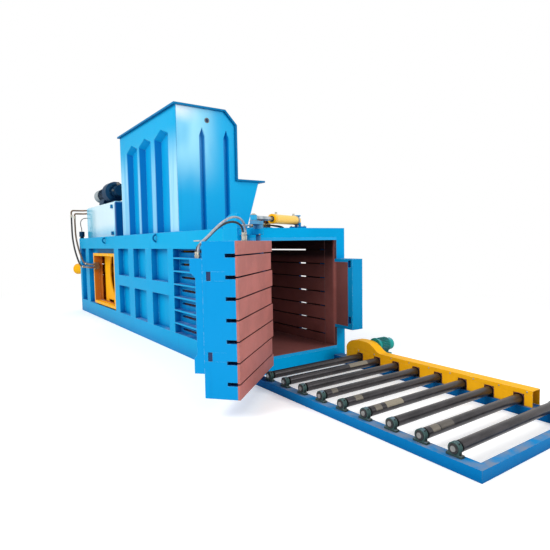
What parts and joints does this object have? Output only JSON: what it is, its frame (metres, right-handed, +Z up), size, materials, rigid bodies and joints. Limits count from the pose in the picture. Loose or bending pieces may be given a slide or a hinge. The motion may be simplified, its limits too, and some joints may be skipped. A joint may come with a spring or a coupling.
{
  "type": "recycling baler",
  "caption": "Horizontal baler with a tall side-fed hopper, slotted press chamber, wide-open bale door with crank cylinder, roof tank with pump set, and driven roller table.",
  "frame": {"origin": "on the ground, under the middle of the exit frame", "axes": "+X is the pressing direction, towards the roller table; +Z is up; +Y is towards the side feed"},
  "size_m": [10.1173, 2.5373, 3.217],
  "materials": {
    "base_frame": "bright blue paint",
    "side_ribs": "bright blue paint",
    "side_walls": "bright blue paint",
    "strapping_walls": "bright blue paint",
    "top_beams": "bright blue paint",
    "roof_plates": "bright blue paint",
    "chamber_liner": "red-brown worn steel",
    "rear_lining": "orange-brown paint",
    "exit_frame": "bright blue paint",
    "hinge_lugs": "bright blue paint",
    "keeper_block": "bright blue paint",
    "trunnion_brackets": "bright blue paint",
    "window_frame": "yellow paint",
    "hopper_side_wall": "bright blue paint",
    "hopper_front_wall": "bright blue paint",
    "hopper_rear_walls": "bright blue paint",
    "hopper_rim": "bright blue paint",
    "throat_knife": "ground steel",
    "cylinder_bracket": "bright blue paint",
    "oil_tank": "glossy pale blue paint",
    "pump_motor": "dark navy paint",
    "fan_cowl": "grey paint",
    "pump_housing": "dark navy paint",
    "lifting_eyes": "bright blue paint",
    "hard_pipes": "orange-brown paint",
    "oil_filter": "blue paint",
    "rear_hose_a": "black rubber",
    "rear_hose_b": "black rubber",
    "gauge_loop": "black rubber",
    "conveyor_frame": "bright blue paint",
    "roller_bearings": "green-grey paint",
    "drive_chains": "oiled steel",
    "chain_guard": "yellow paint",
    "gearmotor": "teal paint",
    "ram": "yellow paint",
    "main_barrel_a": "yellow paint",
    "main_barrel_b": "yellow paint",
    "main_rod_a": "hard chrome",
    "main_rod_b": "hard chrome",
    "door_frame": "bright blue paint",
    "door_wear_plates": "red-brown wear plate",
    "lock_beam": "bright blue paint",
    "hinge_shaft": "blue paint",
    "hose_fittings": "plated steel",
    "door_hose_a": "black rubber",
    "door_hose_b": "black rubber",
    "lock_bolts": "ground steel",
    "door_barrel": "yellow paint",
    "door_rod": "hard chrome",
    "drive_sprocket": "oiled steel",
    "roller_1": "dark bare steel tube",
    "roller_2": "dark bare steel tube",
    "roller_3": "dark bare steel tube",
    "roller_4": "dark bare steel tube",
    "roller_5": "dark bare steel tube",
    "roller_6": "dark bare steel tube",
    "roller_7": "dark bare steel tube",
    "roller_8": "dark bare steel tube",
    "roller_9": "dark bare steel tube"
  },
  "bodies": {
    "base": {"base_frame": "base_frame", "side_ribs": "side_ribs", "side_walls": "side_walls", "strapping_walls": "strapping_walls", "top_beams": "top_beams", "roof_plates": "roof_plates", "chamber_liner": "chamber_liner", "rear_lining": "rear_lining", "exit_frame": "exit_frame", "hinge_lugs": "hinge_lugs", "keeper_block": "keeper_block", "trunnion_brackets": "trunnion_brackets", "window_frame": "window_frame", "hopper_side_wall": "hopper_side_wall", "hopper_front_wall": "hopper_front_wall", "hopper_rear_walls": "hopper_rear_walls", "hopper_rim": "hopper_rim", "throat_knife": "throat_knife", "cylinder_bracket": "cylinder_bracket", "oil_tank": "oil_tank", "pump_motor": "pump_motor", "fan_cowl": "fan_cowl", "pump_housing": "pump_housing", "lifting_eyes": "lifting_eyes", "hard_pipes": "hard_pipes", "oil_filter": "oil_filter", "rear_hose_a": "rear_hose_a", "rear_hose_b": "rear_hose_b", "gauge_loop": "gauge_loop", "conveyor_frame": "conveyor_frame", "roller_bearings": "roller_bearings", "drive_chains": "drive_chains", "chain_guard": "chain_guard", "gearmotor": "gearmotor"},
    "ram": {"ram": "ram"},
    "barrel_a": {"main_barrel_a": "main_barrel_a"},
    "barrel_b": {"main_barrel_b": "main_barrel_b"},
    "rod_a": {"main_rod_a": "main_rod_a"},
    "rod_b": {"main_rod_b": "main_rod_b"},
    "door": {"door_frame": "door_frame", "door_wear_plates": "door_wear_plates", "lock_beam": "lock_beam", "hinge_shaft": "hinge_shaft", "hose_fittings": "hose_fittings", "door_hose_a": "door_hose_a", "door_hose_b": "door_hose_b"},
    "lock_bolts": {"lock_bolts": "lock_bolts"},
    "door_barrel": {"door_barrel": "door_barrel"},
    "door_rod": {"door_rod": "door_rod"},
    "drive_sprocket": {"drive_sprocket": "drive_sprocket"},
    "roller_1": {"roller_1": "roller_1"},
    "roller_2": {"roller_2": "roller_2"},
    "roller_3": {"roller_3": "roller_3"},
    "roller_4": {"roller_4": "roller_4"},
    "roller_5": {"roller_5": "roller_5"},
    "roller_6": {"roller_6": "roller_6"},
    "roller_7": {"roller_7": "roller_7"},
    "roller_8": {"roller_8": "roller_8"},
    "roller_9": {"roller_9": "roller_9"}
  },
  "joints": [
    {"name": "ram_slide", "type": "slide", "parent": "base", "child": "ram", "axis": [1, 0, 0], "range_m": [0, 2.2]},
    {"name": "barrel_a_swing", "type": "hinge", "parent": "base", "child": "barrel_a", "pos_m": [-6.721, -0.44, 0.89], "axis": [0, 0, 1], "range_deg": [-13.63, 0]},
    {"name": "rod_a_slide", "type": "slide", "parent": "barrel_a", "child": "rod_a", "axis": [0.9063, 0.4226, 0], "range_m": [0, 2.1054]},
    {"name": "barrel_b_swing", "type": "hinge", "parent": "base", "child": "barrel_b", "pos_m": [-6.721, 0.44, 0.64], "axis": [0, 0, 1], "range_deg": [0, 13.63]},
    {"name": "rod_b_slide", "type": "slide", "parent": "barrel_b", "child": "rod_b", "axis": [0.9063, -0.4226, 0], "range_m": [0, 2.1054]},
    {"name": "door_hinge", "type": "hinge", "parent": "base", "child": "door", "pos_m": [0.3, -0.578, 0.8], "axis": [0, 0, 1], "range_deg": [0, 138.3]},
    {"name": "door_barrel_swing", "type": "hinge", "parent": "base", "child": "door_barrel", "pos_m": [0, 0.158, 1.664], "axis": [0, 0, 1], "range_deg": [0, 2.14]},
    {"name": "door_rod_slide", "type": "slide", "parent": "door_barrel", "child": "door_rod", "axis": [0.4247, -0.9053, 0], "range_m": [-0.2793, 0]},
    {"name": "lock_bolts_slide", "type": "slide", "parent": "door", "child": "lock_bolts", "axis": [0.6652, -0.7466, 0], "range_m": [0, 0.07]},
    {"name": "roller_1_spin", "type": "hinge", "parent": "base", "child": "roller_1", "pos_m": [0.561, 0, 0.127], "axis": [0, 1, 0], "continuous": true},
    {"name": "roller_2_spin", "type": "hinge", "parent": "base", "child": "roller_2", "pos_m": [0.817, 0, 0.127], "axis": [0, 1, 0], "continuous": true},
    {"name": "roller_3_spin", "type": "hinge", "parent": "base", "child": "roller_3", "pos_m": [1.073, 0, 0.127], "axis": [0, 1, 0], "continuous": true},
    {"name": "roller_4_spin", "type": "hinge", "parent": "base", "child": "roller_4", "pos_m": [1.329, 0, 0.127], "axis": [0, 1, 0], "continuous": true},
    {"name": "roller_5_spin", "type": "hinge", "parent": "base", "child": "roller_5", "pos_m": [1.585, 0, 0.127], "axis": [0, 1, 0], "continuous": true},
    {"name": "roller_6_spin", "type": "hinge", "parent": "base", "child": "roller_6", "pos_m": [1.841, 0, 0.127], "axis": [0, 1, 0], "continuous": true},
    {"name": "roller_7_spin", "type": "hinge", "parent": "base", "child": "roller_7", "pos_m": [2.097, 0, 0.127], "axis": [0, 1, 0], "continuous": true},
    {"name": "roller_8_spin", "type": "hinge", "parent": "base", "child": "roller_8", "pos_m": [2.353, 0, 0.127], "axis": [0, 1, 0], "continuous": true},
    {"name": "roller_9_spin", "type": "hinge", "parent": "base", "child": "roller_9", "pos_m": [2.609, 0, 0.127], "axis": [0, 1, 0], "continuous": true},
    {"name": "drive_spin", "type": "hinge", "parent": "base", "child": "drive_sprocket", "pos_m": [0.675, 0.648, 0.252], "axis": [0, 1, 0], "continuous": true}
  ],
  "couplings": [
    {"joint": "barrel_a_swing", "follows": "ram_slide", "rad_per_m": -0.10797},
    {"joint": "rod_a_slide", "follows": "ram_slide", "ratio": 0.95676},
    {"joint": "barrel_b_swing", "follows": "ram_slide", "rad_per_m": 0.10797},
    {"joint": "rod_b_slide", "follows": "ram_slide", "ratio": 0.95676},
    {"joint": "door_barrel_swing", "follows": "door_hinge", "ratio": 0.015311},
    {"joint": "door_rod_slide", "follows": "door_hinge", "m_per_rad": -0.11552},
    {"joint": "roller_2_spin", "follows": "roller_1_spin", "ratio": 1},
    {"joint": "roller_3_spin", "follows": "roller_1_spin", "ratio": 1},
    {"joint": "roller_4_spin", "follows": "roller_1_spin", "ratio": 1},
    {"joint": "roller_5_spin", "follows": "roller_1_spin", "ratio": 1},
    {"joint": "roller_6_spin", "follows": "roller_1_spin", "ratio": 1},
    {"joint": "roller_7_spin", "follows": "roller_1_spin", "ratio": 1},
    {"joint": "roller_8_spin", "follows": "roller_1_spin", "ratio": 1},
    {"joint": "drive_spin", "follows": "roller_1_spin", "ratio": 1.4}
  ]
}
